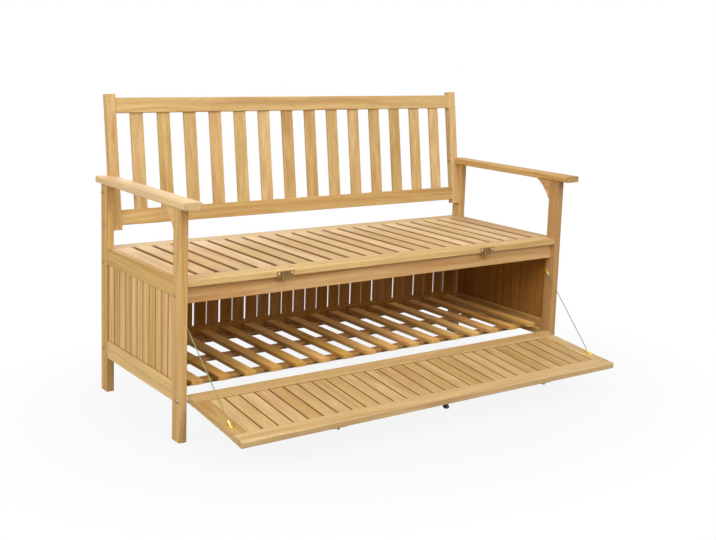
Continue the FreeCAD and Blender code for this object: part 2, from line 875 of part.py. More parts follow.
def hasp(side):
    """Swinging leaf folded up in front of its plate: knuckle, neck, slot and rounded nose."""
    middle = side * latch_spacing / 2
    back = latch_pin_depth + hasp_setback + hasp_thickness / 2
    half = hasp_width / 2
    neck = hasp_knuckle_width / 2
    shoulder = latch_pin_height + knuckle_radius + knuckle_gap
    nose = latch_pin_height + hasp_length

    def place(across, height):
        return vector(middle + across, back, height)

    edges = [Part.makeLine(place(-neck, latch_pin_height), place(neck, latch_pin_height)),
             Part.makeLine(place(neck, latch_pin_height), place(neck, shoulder)),
             Part.makeLine(place(neck, shoulder), place(half, shoulder)),
             Part.makeLine(place(half, shoulder), place(half, nose - hasp_nose)),
             Part.Arc(place(half, nose - hasp_nose), place(0, nose), place(-half, nose - hasp_nose)).toShape(),
             Part.makeLine(place(-half, nose - hasp_nose), place(-half, shoulder)),
             Part.makeLine(place(-half, shoulder), place(-neck, shoulder)),
             Part.makeLine(place(-neck, shoulder), place(-neck, latch_pin_height))]
    leaf = Part.Face(Part.Wire(edges)).extrude(-BACK * hasp_thickness)
    leaf = leaf.fuse(latch_knuckle(middle - neck, middle + neck)).removeSplitter()
    slot_middle = latch_pin_height + hasp_slot_drop
    slot = box((middle - hasp_slot_width / 2, middle + hasp_slot_width / 2),
               (back - 2 * hasp_thickness, back + hasp_thickness),
               (slot_middle - hasp_slot_height / 2, slot_middle + hasp_slot_height / 2))
    return leaf.cut([slot, latch_pin_bore(middle)])


stay_lower_side = flap_half - stay_edge_gap
stay_lower_height = flap_top - stay_end_drop
stay_lower_foot = vector(stay_lower_side, flap_rear, stay_lower_height + stay_lug_offset)
stay_upper_foot = vector(inner_face, stay_anchor_depth, stay_anchor_height)


def stay_ends():
    """Where the right-hand stay's line meets the post and the open flap, and its direction."""
    upper = vector(stay_line_side, stay_anchor_depth, stay_anchor_height)
    point = Part.Vertex(stay_lower_side, flap_rear + stay_sleeve_radius + stay_side_gap, stay_lower_height)
    lower = opened(point).Point
    way = lower - upper
    way.normalize()
    return upper + way * stay_lug_offset, lower, way


def stay_sleeve(heel, way):
    """Swaged sleeve with a rounded heel where it joins its lug."""
    return [Part.makeSphere(stay_sleeve_radius, heel), rod(stay_sleeve_radius, stay_sleeve_length, heel, way)]


def stay_upper_ends():
    """Round lug flat on the post with the sleeve running down the line of the stay."""
    start, lower, way = stay_ends()
    lug = rod(stay_lug_radius, stay_lug_thickness, stay_upper_foot, -RIGHT)
    end = lug.fuse(stay_sleeve(start, way)).removeSplitter()
    hole = bore(stay_upper_foot - RIGHT * stay_lug_thickness, RIGHT,
                stay_screw_radius + small_screw_fit, stay_screw_grip)
    return pair(end.cut(hole))


def stay_lower_ends():
    start, lower, way = stay_ends()
    lug = opened(rod(stay_lug_radius, stay_lug_thickness, stay_lower_foot, BACK))
    end = lug.fuse(stay_sleeve(lower, -way)).removeSplitter()
    hole = opened(bore(stay_lower_foot + BACK * stay_lug_thickness, -BACK,
                       stay_screw_radius + small_screw_fit, stay_screw_grip))
    return pair(end.cut(hole))


def stay_screw(foot, outward):
    """Holds a lug flat on the face whose outward direction is given."""
    return domed_bolt(foot + outward * stay_lug_thickness, -outward, stay_screw_radius,
                      stay_lug_thickness + stay_screw_grip, stay_screw_head_radius, stay_screw_head_height)


def stay_upper_screws():
    return pair(stay_screw(stay_upper_foot, -RIGHT))


def stay_lower_screws():
    return pair(opened(stay_screw(stay_lower_foot, BACK)))


def stay():
    """The right-hand stay, taut between its two sleeves."""
    start, lower, way = stay_ends()
    length = (lower - start).Length - 2 * stay_sleeve_length
    line = rod(stay_radius, length, start + way * stay_sleeve_length, way)
    drawn = math.pi * stay_radius ** 2 * length
    if abs(line.Volume - drawn) > 0.01 * drawn:
        raise ValueError("the stay does not fill its own length")
    return line


def save(name, shape):
    """One named piece, or a group of alike pieces, moved onto the bench's own origin."""
    shape.translate(vector(0, -box_middle, 0))
    shape.exportStep("parts/" + name + ".step")


def save_pair(name, shape):
    save(name + "_left", mirrored(shape))
    save(name + "_right", shape)


def build():
    os.makedirs("parts", exist_ok=True)
    save_pair("front_post", front_post())
    save_pair("rear_post", rear_post())
    save_pair("side_top_rail", side_top_rail())
    save_pair("side_bottom_rail", side_bottom_rail())
    save_pair("side_boards", side_boards())
    save_pair("armrest", armrest())
    save_pair("arm_bracket", arm_bracket())
    save("arm_dowels", arm_dowels())
    save_pair("seat_cleat", cleat(seat_underside))
    save_pair("floor_cleat", cleat(floor_batten_base))
    save_pair("back_stile", back_stile())
    save("back_top_rail", back_top_rail())
    save("back_bottom_rail", back_bottom_rail())
    save("back_slats", back_slats())
    save("seat_front_rail", seat_front_rail())
    save("seat_rear_rail", seat_rear_rail())
    save("seat_slats", seat_slats())
    save("seat_batten", seat_batten())
    save("apron", apron())
    save("rear_top_rail", rear_top_rail())
    save("rear_bottom_rail", rear_bottom_rail())
    save("rear_slats", rear_slats())
    save("floor_battens", floor_battens())
    save("floor_slats", floor_slats())
    save("flap_top_rail", flap_top_rail())
    save("flap_bottom_rail", flap_bottom_rail())
    save_pair("flap_stile", opened(flap_stile()))
    save("flap_boards", flap_boards())
    save("flap_knob", flap_knob())
    save("knob_screw", knob_screw())
    save("flap_keepers", flap_keepers())
    save("keeper_screws", keeper_screws())
    save("pivot_bolts", pivot_bolts())
    save("pivot_spacers", pivot_spacers())
    save("latch_plates", latch_plates())
    save("latch_screws", small_screws(latch_screw_points(), BACK))
    save("latch_pins", latch_pins())
    save("hasp_left", hasp(-1))
    save("hasp_right", hasp(1))
    save("stay_upper_ends", stay_upper_ends())
    save("stay_upper_screws", stay_upper_screws())
    save("stay_lower_ends", stay_lower_ends())
    save("stay_lower_screws", stay_lower_screws())
    save_pair("stay", stay())
    save("frame_bolts", frame_bolts())
    save("barrel_nuts", barrel_nuts())


build()
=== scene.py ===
"""Garden storage bench: oiled boards, brass latches and stay wires on the CAD frame, on a plain stage."""

import math

import bpy
from mathutils import Matrix, Vector


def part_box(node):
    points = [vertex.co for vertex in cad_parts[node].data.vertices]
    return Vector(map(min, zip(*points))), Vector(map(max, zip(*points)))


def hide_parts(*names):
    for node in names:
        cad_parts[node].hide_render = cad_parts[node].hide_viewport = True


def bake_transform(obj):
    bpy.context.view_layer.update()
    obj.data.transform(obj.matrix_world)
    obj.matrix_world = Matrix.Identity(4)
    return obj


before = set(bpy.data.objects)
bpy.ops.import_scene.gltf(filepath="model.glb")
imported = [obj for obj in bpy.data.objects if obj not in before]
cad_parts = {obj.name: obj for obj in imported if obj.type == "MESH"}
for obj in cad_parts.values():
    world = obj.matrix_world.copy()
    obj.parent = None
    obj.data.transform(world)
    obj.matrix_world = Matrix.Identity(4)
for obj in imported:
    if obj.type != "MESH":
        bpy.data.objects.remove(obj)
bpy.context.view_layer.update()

bl_info = {
    "name": "Garden storage bench",
    "version": (1, 0, 0),
    "blender": (4, 2, 0),
    "location": "3D View > Sidebar > Bench",
    "description": "Finishes a slatted storage bench with a drop front and lights it on a pale floor",
    "category": "Object",
}

SIDES = ("left", "right")

# Route of the right-hand stay from its post to the flap; the left one mirrors it.
STAY_ROUTE = (
    (0.69547, -0.12757, 0.32722),
    (0.69435, -0.14022, 0.31467),
    (0.67787, -0.32569, 0.13063),
    (0.67675, -0.33834, 0.11808),
)

# How far the wood of a piece leans from its plain colours to another colour of the wood settings.
TONES = {
    "front_post_left": ("deep", 0.18),
    "front_post_right": ("deep", 0.65),
    "armrest_left": ("worn", 0.45),
    "armrest_right": ("deep", 0.08),
    "floor_cleat_left": ("deep", 0.3),
    "floor_cleat_right": ("deep", 0.3),
    "back_stile_left": ("dull", 0.25),
    "back_stile_right": ("dull", 0.25),
    "back_top_rail": ("dull", 0.25),
    "back_bottom_rail": ("dull", 0.25),
    "back_slats": ("dull", 0.35),
    "seat_front_rail": ("worn", 0.15),
    "seat_rear_rail": ("worn", 0.3),
    "seat_slats": ("worn", 0.4),
    "apron": ("deep", 0.2),
    "floor_battens": ("deep", 0.5),
    "floor_slats": ("fresh", 0.52),
    "flap_top_rail": ("dull", 0.35),
    "flap_bottom_rail": ("dull", 0.35),
    "flap_stile_left": ("dull", 0.35),
    "flap_stile_right": ("dull", 0.35),
    "flap_boards": ("dull", 0.4),
}

# Faces inside the box that get a painted shade tint, by the axis and the direction that they look along.
PAINTED_SHADE_FACES = {
    "side_boards_left": ("x", 1),
    "side_boards_right": ("x", -1),
    "rear_top_rail": ("y", -1),
    "rear_bottom_rail": ("y", -1),
    "rear_slats": ("y", -1),
}

# Grain of the wood, in repeats per metre along it and across it.
WANDER_SCALE = (3.0, 12.0, 12.0)
LINE_SCALE = (1.3, 75.0, 75.0)
STREAK_SCALE = (0.9, 34.0, 34.0)
FIBRE_SCALE = (22.0, 760.0, 760.0)
PORE_SCALE = (70.0, 1900.0, 1900.0)
KNOT_SCALE = (3.4, 17.0, 17.0)
END_SCALE = (500.0, 500.0, 500.0)

# Metres along and across the figure over which boards are cut from it, and metres that its lines wander.
FIGURE_REACH = (37.0, 19.0, 23.0)
WANDER = 0.006

# Shares by which streaks, pores and knots darken the wood, and share of the cells without a knot.
STREAK_SHADE = 0.42
PORE_SHADE = 0.30
KNOT_SHADE = 0.75
KNOT_FREE = 0.86

# How far single fibres differ in brightness, and whole boards in hue.
FIBRE_SPREAD = 0.07
HUE_SPREAD = 0.005

# Step from one board's seed to the next on the way round from 0 to 1, and stretch of a number for its hue.
SEED_STEP = 0.618
HUE_STRETCH = 91.0

# Width over which the dark oil and painted shade in a groove fade out, sheen of the wood and strength of its
# raised grain.
OIL_AND_SHADE_FADE = 0.0012
WOOD_SHEEN = 0.2
WOOD_BUMP = 0.5

# Film on metal and moulded pieces: repeats per metre, scratch depth and strength.
PATCH_SCALE = (160.0, 160.0, 160.0)
SCRATCH_SCALE = (2400.0, 300.0, 900.0)
SCRATCH_DEPTH = 0.0001
SCRATCH_BUMP = 0.3

# Stay wires: repeats per metre, depth and strength of the strands, and gloss of the sleeve.
STRAND_SCALE = (300.0, 200.0, 200.0)
CLOUD_SCALE = (90.0, 90.0, 90.0)
STRAND_DEPTH = 0.0003
STRAND_BUMP = 0.5
SLEEVE_COAT = 0.2

# Width of the floor, its shape round the bench, and how far off it starts to fade to white and is white.
FLOOR_WIDTH = 24.0
FLOOR_SQUEEZE = (0.75, 1.0, 1.0)
FADE_START = 0.55
FADE_END = 1.0

# Place, target and diameter of each lamp.
LAMPS = {
    "key": ((-0.3, -2.4, 4.2), (0.0, 0.0, 0.4), 4.0),
    "side": ((-3.8, -0.9, 1.9), (0.0, 0.0, 0.4), 2.0),
    "front": ((0.4, -3.9, 2.4), (0.0, 0.0, 0.2), 2.0),
    "back": ((1.6, 4.2, 2.4), (0.0, 0.0, 0.4), 2.6),
}


# Settings

def colour(label, about, value):
    return bpy.props.FloatVectorProperty(
        name=label, description=about, subtype="COLOR", size=3, min=0.0, max=1.0, default=value)


def length(label, about, value):
    return bpy.props.FloatProperty(
        name=label, description=about, unit="LENGTH", subtype="DISTANCE", min=0.0, precision=5, default=value)


def share(label, about, value):
    return bpy.props.FloatProperty(
        name=label, description=about, subtype="FACTOR", min=0.0, max=1.0, default=value)


def level(label, about, value):
    return bpy.props.FloatProperty(name=label, description=about, min=0.0, default=value)


def angle(label, about, degrees):
    return bpy.props.FloatProperty(
        name=label, description=about, subtype="ANGLE", unit="ROTATION", default=math.radians(degrees))


class BenchWood(bpy.types.PropertyGroup):
    """Colours and grain of the oiled boards"""
    pale: colour("Pale wood", "Colour between the growth lines", (0.76, 0.51, 0.215))
    warm: colour("Warm wood", "Colour of the growth lines", (0.56, 0.315, 0.092))
    deep: colour("Deep wood", "Colour of dark streaks and knots", (0.33, 0.135, 0.034))
    worn: colour("Worn wood", "Colour that sun and use bleach the wood to", (0.81, 0.61, 0.35))
    fresh: colour("Fresh wood", "Colour of bright wood that keeps its oil", (0.98, 0.56, 0.13))
    dull: colour("Dull wood", "Colour of wood that has lost its oil", (0.50, 0.375, 0.19))
    # Painted shade: the tint that darkens the faces inside the box.
    painted_shade_tint: colour("Painted shade", "Tint of the faces inside the box", (0.58, 0.43, 0.20))
    sawn: colour("Sawn end", "Colour of the faces cut across the grain", (0.16, 0.085, 0.035))
    # The groove colour is dark oil and painted shade in the grooves and gaps, and the painted shadow under
    # the seat rail.
    groove: colour("Groove", "Colour of the oil in the grooves between boards", (0.19, 0.075, 0.015))
    board_spread: share("Board spread", "How far one board's tone differs from the next", 0.24)
    # Painted shade with dark oil in the grooves of the flap and of the side panels.
    groove_shade: share("Groove shade", "How far oil darkens the grooves of the flap", 0.82)
    panel_shade: share("Panel shade", "How far oil darkens the grooves of the side panels", 0.50)
    # Painted shade with dark oil on the edges of slats beside open gaps, and the width it reaches into them.
    gap_shade: share("Gap shade", "How far oil darkens the edges of slats beside open gaps", 0.68)
    gap_edge: length("Gap edge", "Width of the dark oil on a slat beside an open gap", 0.0016)
    # Painted shade with dark oil on the edges of the box's floor slats.
    floor_shade: share("Floor shade", "How far oil darkens the edges of the box's floor slats", 0.30)
    end_shade: share("End shade", "How much darker a sawn end is", 0.30)
    relief: length("Grain relief", "Height of the raised grain", 0.0005)


class BenchHardware(bpy.types.PropertyGroup):
    """Colours of the metal and plastic pieces"""
    brass: colour("Brass", "Stay ends", (0.87, 0.66, 0.16))
    aged: colour("Aged brass", "Latches and keepers", (0.27, 0.15, 0.040))
    tarnish: colour("Tarnish", "Dull film on the brass", (0.15, 0.080, 0.022))
    screws: colour("Screws", "Bright heads on the latches", (0.82, 0.70, 0.46))
    steel: colour("Steel", "Plated bolts and nuts", (0.40, 0.28, 0.12))
    steel_dull: colour("Dull steel", "Film on the bolts and nuts", (0.17, 0.125, 0.07))
    knob: colour("Knob", "Moulded knob on the flap", (0.014, 0.013, 0.013))
    knob_dull: colour("Dull knob", "Film on the knob", (0.03, 0.03, 0.03))
    spacer: colour("Spacer", "Washers between the posts and the flap", (0.60, 0.52, 0.38))
    spacer_dull: colour("Dull spacer", "Film on the washers", (0.44, 0.36, 0.25))


class BenchStays(bpy.types.PropertyGroup):
    """Wires that hold the open flap"""
    diameter: length("Diameter", "Thickness of a stay over its sleeve", 0.0028)
    sleeve: colour("Sleeve", "Colour of the clear sleeve", (0.25, 0.29, 0.08))
    core: colour("Core", "Colour of the strands inside the sleeve", (0.11, 0.13, 0.04))
    sides: bpy.props.IntProperty(name="Sides", description="Facets round a stay", min=6, max=48, default=14)


class BenchStage(bpy.types.PropertyGroup):
    """Floor, light and camera"""
    floor: colour("Floor", "Colour of the studio floor", (0.40, 0.40, 0.40))
    white_share: share(
        "White share", "How much of the floor by the bench the camera sees as plain white", 0.90)
    room_light: level("Room light", "Strength of the even light all round", 0.22)
    key_power: level("Key power", "Watts of the large lamp above the front", 128.0)
    side_power: level("Side power", "Watts of the lamp on the left", 92.0)
    front_power: level("Front power", "Watts of the lower lamp in front", 58.0)
    back_power: level("Back power", "Watts of the lamp behind", 60.0)
    lens: bpy.props.FloatProperty(
        name="Lens", description="Focal length", unit="CAMERA", min=1.0, default=54.190)
    eye: bpy.props.FloatVectorProperty(
        name="Eye", description="Place of the camera", subtype="TRANSLATION", unit="LENGTH", size=3,
        default=(-1.99867, -2.70641, 1.11849))
    yaw: angle("Yaw", "Turn of the camera from straight ahead to the right", 34.787)
    pitch: angle("Pitch", "Tilt of the camera downward", 8.507)
    roll: angle("Roll", "Turn of the camera about its own line of sight", 1.736)
    shift: bpy.props.FloatVectorProperty(
        name="Shift", description="Shift of the picture across the sensor", size=2, default=(0.03, -0.10))


# Node helpers

def feed(tree, socket, value):
    """Links an output socket, or sets a plain value."""
    if isinstance(value, bpy.types.NodeSocket):
        tree.links.new(value, socket)
    elif socket.type == "RGBA":
        socket.default_value = (*value, 1.0)
    else:
        socket.default_value = value


def add(tree, kind, inputs=None, **settings):
    made = tree.nodes.new("ShaderNode" + kind)
    for key, value in settings.items():
        setattr(made, key, value)
    for key, value in (inputs or {}).items():
        feed(tree, made.inputs[key], value)
    return made


def maths(tree, operation, first, second=0.0):
    return add(tree, "Math", {0: first, 1: second}, operation=operation).outputs[0]


def scaled(tree, vector, scale):
    return add(tree, "VectorMath", {0: vector, 1: scale}, operation="MULTIPLY").outputs[0]


def ramp(tree, value, low, high, to_low=0.0, to_high=1.0):
    return add(tree, "MapRange", {0: value, 1: low, 2: high, 3: to_low, 4: to_high}).outputs[0]


def noise(tree, vector, scale, detail=2.0):
    made = add(tree, "TexNoise", {"Vector": scaled(tree, vector, scale), "Scale": 1.0, "Detail": detail})
    return made.outputs[0]


def mixed(tree, factor, first, second, blend="MIX"):
    made = add(tree, "Mix", data_type="RGBA", blend_type=blend)
    feed(tree, made.inputs["Factor"], factor)
    feed(tree, made.inputs[6], first)
    feed(tree, made.inputs[7], second)
    return made.outputs[2]


def group(name, inputs, outputs):
    """A node group with its named sockets, and its two end nodes."""
    tree = bpy.data.node_groups.new(name, "ShaderNodeTree")
    for label, kind in inputs:
        tree.interface.new_socket(label, in_out="INPUT", socket_type="NodeSocket" + kind)
    for label, kind in outputs:
        tree.interface.new_socket(label, in_out="OUTPUT", socket_type="NodeSocket" + kind)
    return tree, tree.nodes.new("NodeGroupInput").outputs, tree.nodes.new("NodeGroupOutput").inputs


def shared(name, build):
    return bpy.data.node_groups.get(name) or build(name)


def place(tree, made_group, inputs):
    made = tree.nodes.new("ShaderNodeGroup")
    made.node_tree = made_group
    for key, value in inputs.items():
        feed(tree, made.inputs[key], value)
    return made.outputs


# Shared effects

def board_number(name):
    """A number from 0 to 1 for each board of an even row, and the distance to the middle of the next gap."""
    tree, given, result = group(
        name,
        [("Along Row", "Float"), ("Start", "Float"), ("Pitch", "Float"), ("Count", "Float"),
         ("Seed", "Float")],
        [("Number", "Float"), ("Edge", "Float")])
    along = maths(tree, "SUBTRACT", given["Along Row"], given["Start"])
    steps = maths(tree, "DIVIDE", along, given["Pitch"])
    index = maths(tree, "ADD", maths(tree, "FLOOR", steps), given["Seed"])
    middle = maths(tree, "MULTIPLY", given["Count"], 0.5)
    from_middle = maths(tree, "ABSOLUTE", maths(tree, "SUBTRACT", steps, middle))
    outer_half = maths(tree, "SUBTRACT", from_middle, maths(tree, "SUBTRACT", middle, 0.5))
    apart = maths(tree, "MAXIMUM", maths(tree, "PINGPONG", steps, 0.5), outer_half)
    feed(tree, result["Edge"], maths(tree, "MULTIPLY", apart, given["Pitch"]))
    drawn = add(tree, "TexWhiteNoise", {"W": index}, noise_dimensions="1D")
    feed(tree, result["Number"], drawn.outputs["Value"])
    return tree


def panel_rim_shade(name):
    """Counts the ends of a framed panel's boards as edges too, so that painted shade lines the recess along
    the frame.
    """
    tree, given, result = group(
        name, [("Edge", "Float"), ("Along", "Float"), ("Middle", "Float"), ("Half", "Float")],
        [("Edge", "Float")])
    from_middle = maths(tree, "ABSOLUTE", maths(tree, "SUBTRACT", given["Along"], given["Middle"]))
    to_end = maths(tree, "SUBTRACT", given["Half"], from_middle)
    feed(tree, result["Edge"], maths(tree, "MINIMUM", given["Edge"], to_end))
    return tree


def painted_shade_face(name):
    """Paints shade on the faces that look one way along an axis, by tinting the pale and the warm colour of
    the wood.
    """
    tree, given, result = group(
        name,
        [("Facing", "Float"), ("Direction", "Float"), ("Pale", "Color"), ("Warm", "Color"),
         ("Tint", "Color")],
        [("Pale", "Color"), ("Warm", "Color")])
    inward_shade = ramp(tree, maths(tree, "MULTIPLY", given["Facing"], given["Direction"]), 0.3, 0.6)
    for label in ("Pale", "Warm"):
        feed(tree, result[label], mixed(tree, inward_shade, given[label], given["Tint"], "MULTIPLY"))
    return tree


def wood_figure(name):
    """Growth lines, streaks, pores and knots. The place's first axis runs along the grain."""
    tree, given, result = group(
        name,
        [("Place", "Vector"), ("Number", "Float"), ("Pale", "Color"), ("Warm", "Color"), ("Deep", "Color"),
         ("Spread", "Float")],
        [("Color", "Color"), ("Roughness", "Float"), ("Height", "Float")])
    number = given["Number"]
    shift = add(tree, "CombineXYZ", {
        axis: maths(tree, "MULTIPLY", number, reach) for axis, reach in enumerate(FIGURE_REACH)}).outputs[0]
    at = add(tree, "VectorMath", {0: given["Place"], 1: shift}, operation="ADD").outputs[0]
    wander = ramp(tree, noise(tree, at, WANDER_SCALE, 1.0), 0.3, 0.7, -WANDER, WANDER)
    sideways = add(tree, "CombineXYZ", {1: wander, 2: wander}).outputs[0]
    bent = add(tree, "VectorMath", {0: at, 1: sideways}, operation="ADD").outputs[0]
    lines = ramp(tree, noise(tree, bent, LINE_SCALE, 4.0), 0.34, 0.68)
    streak = ramp(tree, noise(tree, bent, STREAK_SCALE, 2.0), 0.52, 0.76)
    fibre = noise(tree, at, FIBRE_SCALE, 1.0)
    pores = ramp(tree, noise(tree, at, PORE_SCALE, 0.0), 0.62, 0.74)
    cell = add(tree, "TexVoronoi", {"Vector": scaled(tree, at, KNOT_SCALE), "Scale": 1.0})
    chance = add(tree, "SeparateColor", {0: cell.outputs["Color"]}).outputs[0]
    near = ramp(tree, cell.outputs["Distance"], 0.05, 0.20, 1.0, 0.0)
    knot = maths(tree, "MULTIPLY", near, maths(tree, "GREATER_THAN", chance, KNOT_FREE))

    body = mixed(tree, lines, given["Pale"], given["Warm"])
    for mark, shade in ((streak, STREAK_SHADE), (pores, PORE_SHADE), (knot, KNOT_SHADE)):
        body = mixed(tree, maths(tree, "MULTIPLY", mark, shade), body, given["Deep"])
    grain_tone = ramp(tree, fibre, 0.25, 0.75, 1.0 - FIBRE_SPREAD, 1.0 + FIBRE_SPREAD)
    away = maths(tree, "MULTIPLY", maths(tree, "SUBTRACT", number, 0.5), given["Spread"])
    stretched = maths(tree, "MULTIPLY", number, HUE_STRETCH)
    turn = add(tree, "TexWhiteNoise", {"W": stretched}, noise_dimensions="1D")
    varied = add(tree, "HueSaturation", {
        "Hue": ramp(tree, turn.outputs["Value"], 0.0, 1.0, 0.5 - HUE_SPREAD, 0.5 + HUE_SPREAD),
        "Saturation": maths(tree, "SUBTRACT", 1.0, maths(tree, "MULTIPLY", away, 0.5)),
        "Value": maths(tree, "MULTIPLY", maths(tree, "ADD", 1.0, away), grain_tone),
        "Color": body})
    feed(tree, result["Color"], varied.outputs[0])
    feed(tree, result["Roughness"], ramp(tree, lines, 0.0, 1.0, 0.62, 0.48))
    raised = maths(tree, "ADD", fibre, maths(tree, "MULTIPLY", lines, 0.6))
    feed(tree, result["Height"], maths(tree, "SUBTRACT", raised, pores))
    return tree


def sawn_end(name):
    """Darkens the faces that are cut across the grain."""
    tree, given, result = group(
        name,
        [("Color", "Color"), ("Facing", "Float"), ("Place", "Vector"), ("Sawn", "Color"), ("Shade", "Float")],
        [("Color", "Color")])
    mask = ramp(tree, maths(tree, "ABSOLUTE", given["Facing"]), 0.88, 0.96)
    speckle = ramp(tree, noise(tree, given["Place"], END_SCALE, 2.0), 0.3, 0.7, 0.6, 1.0)
    amount = maths(tree, "MULTIPLY", maths(tree, "MULTIPLY", mask, given["Shade"]), speckle)
    feed(tree, result["Color"], mixed(tree, amount, given["Color"], given["Sawn"]))
    return tree


def groove_oil_and_shade(name):
    """Dark oil and painted shade between the boards of a row, up to a width from the middle of each gap."""
    tree, given, result = group(
        name,
        [("Color", "Color"), ("Edge", "Float"), ("Width", "Float"), ("Oil", "Color"), ("Shade", "Float")],
        [("Color", "Color")])
    past = maths(tree, "DIVIDE", maths(tree, "SUBTRACT", given["Edge"], given["Width"]), OIL_AND_SHADE_FADE)
    amount = maths(tree, "MULTIPLY", ramp(tree, past, 0.0, 1.0, 1.0, 0.0), given["Shade"])
    feed(tree, result["Color"], mixed(tree, amount, given["Color"], given["Oil"]))
    return tree


def worn_film(name):
    """Patches of dull film with fine scratches, for metal and moulded pieces."""
    tree, given, result = group(
        name, [("Place", "Vector"), ("Clean", "Color"), ("Dull", "Color"), ("Amount", "Float")],
        [("Color", "Color"), ("Roughness", "Float"), ("Height", "Float")])
    patch = ramp(tree, noise(tree, given["Place"], PATCH_SCALE, 4.0), 0.38, 0.66)
    scratch = noise(tree, given["Place"], SCRATCH_SCALE, 2.0)
    mask = maths(tree, "MULTIPLY", patch, given["Amount"])
    feed(tree, result["Color"], mixed(tree, mask, given["Clean"], given["Dull"]))
    dulled = ramp(tree, patch, 0.0, 1.0, 0.28, 0.46)
    feed(tree, result["Roughness"], maths(tree, "ADD", dulled, maths(tree, "MULTIPLY", scratch, 0.12)))
    feed(tree, result["Height"], scratch)
    return tree


def wire_lay(name):
    """Slanting strands seen through a sleeve."""
    tree, given, result = group(
        name, [("Place", "Vector"), ("Sleeve", "Color"), ("Core", "Color")],
        [("Color", "Color"), ("Roughness", "Float"), ("Height", "Float")])
    strands = add(tree, "TexWave", {
        "Vector": scaled(tree, given["Place"], STRAND_SCALE), "Scale": 1.0, "Distortion": 0.4},
        bands_direction="DIAGONAL").outputs["Fac"]
    cloud = noise(tree, given["Place"], CLOUD_SCALE, 2.0)
    shown = maths(tree, "MULTIPLY", strands, 0.55)
    feed(tree, result["Color"], mixed(tree, shown, given["Sleeve"], given["Core"]))
    feed(tree, result["Roughness"], ramp(tree, cloud, 0.3, 0.7, 0.34, 0.48))
    feed(tree, result["Height"], strands)
    return tree


# Materials

def surface(name):
    """A material with its shader and its coordinates."""
    material = bpy.data.materials.new(name)
    material.use_nodes = True
    tree = material.node_tree
    tree.nodes.clear()
    shader = tree.nodes.new("ShaderNodeBsdfPrincipled")
    output = tree.nodes.new("ShaderNodeOutputMaterial")
    tree.links.new(shader.outputs[0], output.inputs[0])
    return material, tree, shader, tree.nodes.new("ShaderNodeTexCoord")


def dress(tree, shader, look, depth, strength):
    """Feeds colour, roughness and a bump to the shader."""
    feed(tree, shader.inputs["Base Color"], look["Color"])
    feed(tree, shader.inputs["Roughness"], look["Roughness"])
    bump = add(tree, "Bump", {"Height": look["Height"], "Distance": depth, "Strength": strength})
    feed(tree, shader.inputs["Normal"], bump.outputs[0])


def blended(first, second, amount):
    """A colour part of the way from the first to the second."""
    return tuple(a + (b - a) * amount for a, b in zip(first, second))


def toned(settings, node):
    """The pale and the warm colour of a piece's wood."""
    goal, amount = TONES.get(node, ("worn", 0.0))
    return [blended(plain, getattr(settings, goal), amount) for plain in (settings.pale, settings.warm)]


def wood(settings, node, grain, seed, row=None):
    """Oiled wood for a CAD node, with its grain along x, y or z.

    A row is (axis, start, pitch, count, gap, shade, rim) of boards side by side, whose shade darkens its gaps
    with dark oil and painted shade. The rim lists the (axis, middle, half length) of a framed panel, whose
    frame gets the painted shade too.
    """
    material, tree, shader, at = surface(node)
    axes = dict(zip("xyz", add(tree, "SeparateXYZ", {0: at.outputs["Object"]}).outputs))
    facing = dict(zip("xyz", add(tree, "SeparateXYZ", {0: at.outputs["Normal"]}).outputs))
    pale, warm = toned(settings, node)
    # Painted shade: the faces inside the box get darker wood colours.
    if node in PAINTED_SHADE_FACES:
        way, direction = PAINTED_SHADE_FACES[node]
        shaded = place(tree, shared("Sheltered face", painted_shade_face), {
            "Facing": facing[way], "Direction": direction, "Pale": pale, "Warm": warm,
            "Tint": settings.painted_shade_tint})
        pale, warm = shaded["Pale"], shaded["Warm"]
    turned = "xyz"["xyz".index(grain):] + "xyz"[:"xyz".index(grain)]
    along = add(tree, "CombineXYZ", {i: axes[axis] for i, axis in enumerate(turned)}).outputs[0]
    number = seed * SEED_STEP % 1.0
    if row:
        axis, start, pitch, count, gap, shade, rim = row
        found = place(tree, shared("Board number", board_number), {
            "Along Row": axes[axis], "Start": start, "Pitch": pitch, "Count": count, "Seed": seed})
        number = found["Number"]
    figure = place(tree, shared("Wood figure", wood_figure), {
        "Place": along, "Number": number, "Pale": pale, "Warm": warm, "Deep": settings.deep,
        "Spread": settings.board_spread})
    cut = place(tree, shared("Sawn end", sawn_end), {
        "Color": figure["Color"], "Facing": facing[grain], "Place": along, "Sawn": settings.sawn,
        "Shade": settings.end_shade})
    # Painted shade, with dark oil, along the gaps between boards and round the rim of a panel.
    if row and shade:
        edge = found["Edge"]
        for way, middle, half in rim:
            edge = place(tree, shared("Panel rim", panel_rim_shade), {
                "Edge": edge, "Along": axes[way], "Middle": middle, "Half": half})["Edge"]
        cut = place(tree, shared("Groove oil", groove_oil_and_shade), {
            "Color": cut["Color"], "Edge": edge, "Width": gap / 2, "Oil": settings.groove, "Shade": shade})
    dress(tree, shader, {"Color": cut["Color"], "Roughness": figure["Roughness"], "Height": figure["Height"]},
          settings.relief, WOOD_BUMP)
    shader.inputs["Specular IOR Level"].default_value = WOOD_SHEEN
    return material


def film(name, clean, dull, amount, metallic):
    """Metal or moulded plastic under a thin worn film."""
    material, tree, shader, at = surface(name)
    look = place(tree, shared("Worn film", worn_film), {
        "Place": at.outputs["Object"], "Clean": clean, "Dull": dull, "Amount": amount})
    dress(tree, shader, look, SCRATCH_DEPTH, SCRATCH_BUMP)
    shader.inputs["Metallic"].default_value = metallic
    return material


